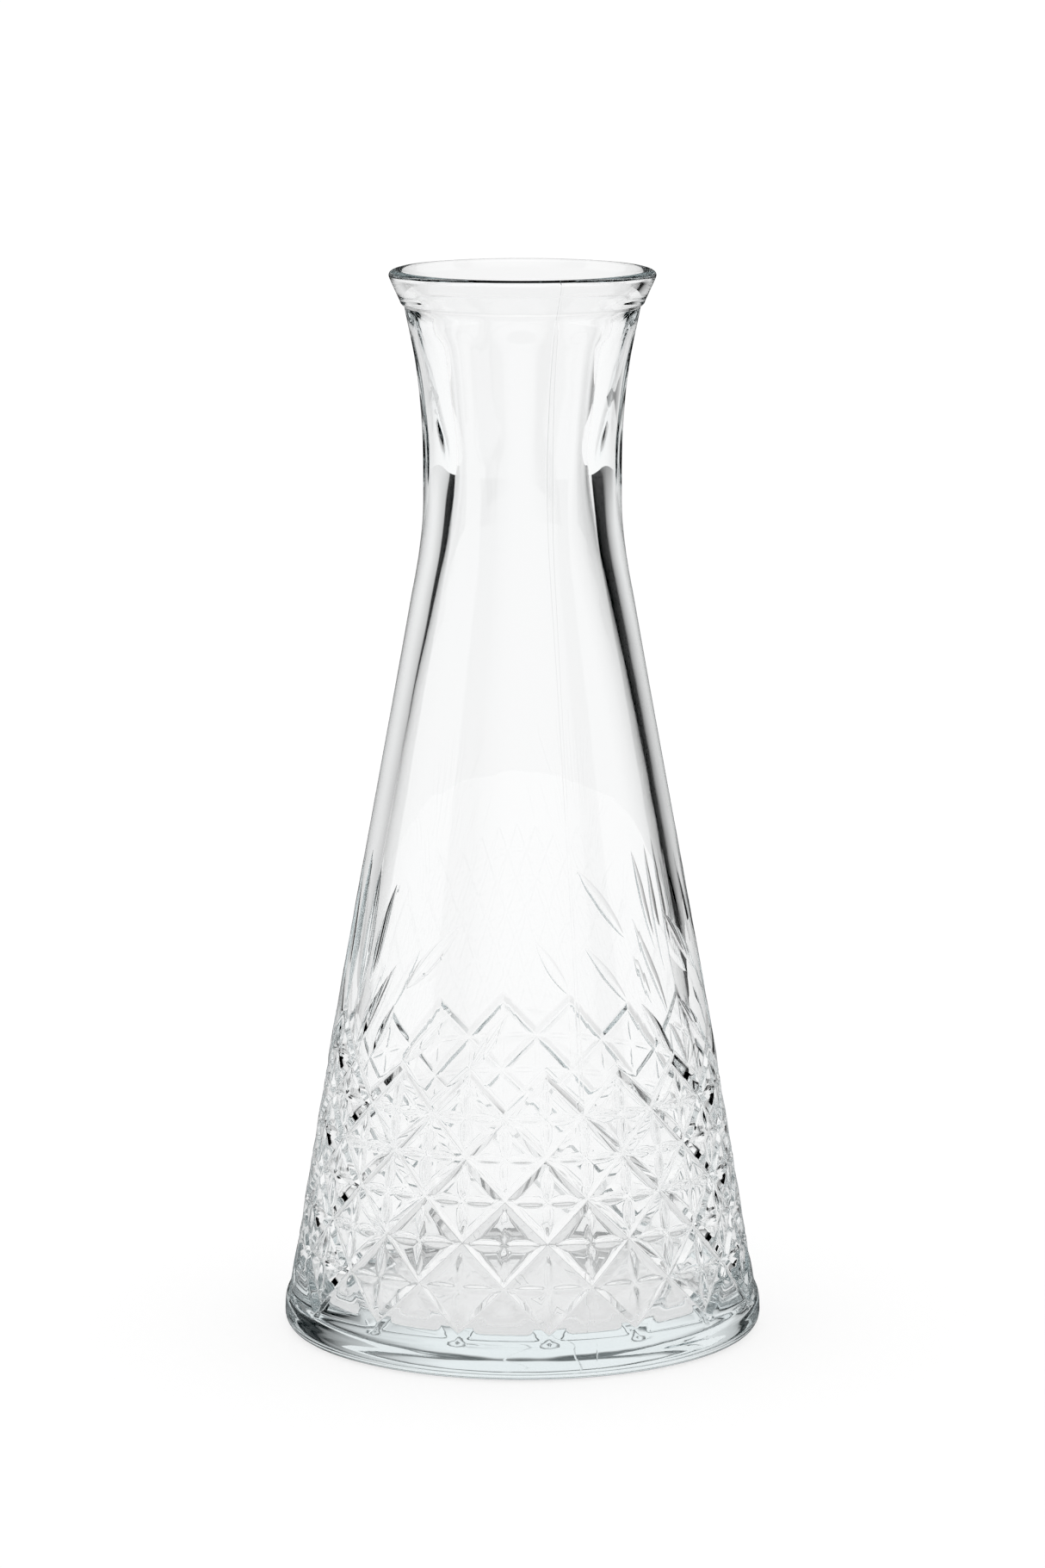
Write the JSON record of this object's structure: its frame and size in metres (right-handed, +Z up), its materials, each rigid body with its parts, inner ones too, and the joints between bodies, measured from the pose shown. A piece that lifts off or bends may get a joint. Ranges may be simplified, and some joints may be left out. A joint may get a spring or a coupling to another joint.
{
  "type": "pressed glass carafe",
  "caption": "Tall conical open glass carafe with a waisted flared neck, a band of diamond cuts above a thick foot and fans of leaf cuts.",
  "frame": {"origin": "centre of the ring that the carafe stands on, at table height", "axes": "+Z up along the axis of the carafe; the front faces -Y, with the middle of one fan of leaf cuts 17.8 degrees from +X towards +Y and the other fan opposite it"},
  "size_m": [0.1196, 0.1196, 0.265],
  "materials": {
    "clear_glass": "clear fire-polished soda-lime glass"
  },
  "bodies": {
    "root": {"foot": "clear_glass", "diamond_wall": "clear_glass", "fan_wall": "clear_glass", "shoulder": "clear_glass", "neck": "clear_glass", "lip": "clear_glass"}
  },
  "joints": []
}
